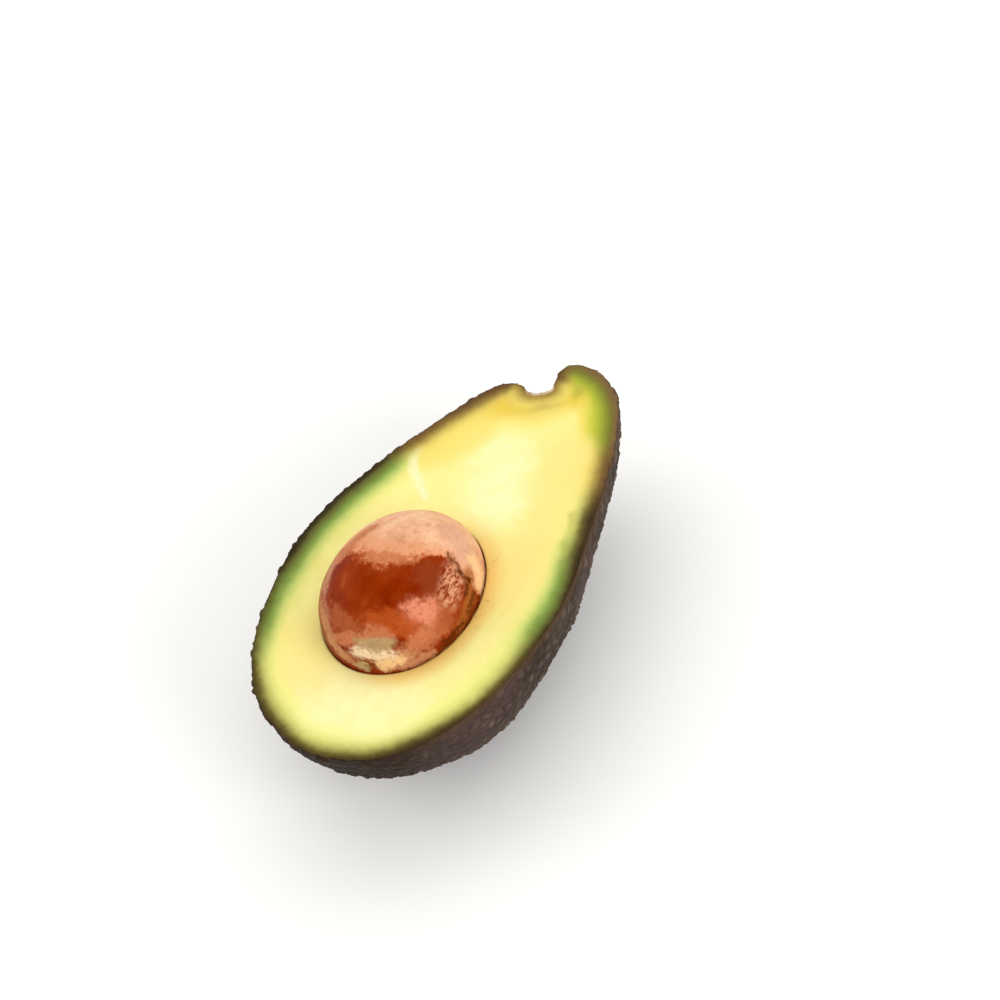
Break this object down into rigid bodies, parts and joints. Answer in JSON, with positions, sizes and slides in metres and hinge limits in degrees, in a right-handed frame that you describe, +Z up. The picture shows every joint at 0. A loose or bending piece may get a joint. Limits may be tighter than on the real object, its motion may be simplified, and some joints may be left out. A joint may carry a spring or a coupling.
{
  "type": "halved avocado with seed",
  "caption": "Half of a pear-shaped avocado lying on its back: dark pebbled peel, yellow flesh with a green edge, and the brown seed resting in its pocket.",
  "frame": {"origin": "on the surface that the half rests on, under the middle of its bounding box", "axes": "+Z up, square to the cut face; +Y along the fruit from the blossom end to the stem end; +X across the cut face"},
  "size_m": [0.06, 0.1, 0.0437],
  "materials": {
    "peel": "pebbled, dark purple-brown, dull with a slight sheen on the pebbles",
    "flesh": "smooth, slightly moist, pale yellow turning green at the skin",
    "seed": "smooth, moist, rust brown with pale streaks"
  },
  "bodies": {
    "root": {"peel": "peel", "flesh": "flesh", "seed": "seed"}
  },
  "joints": []
}
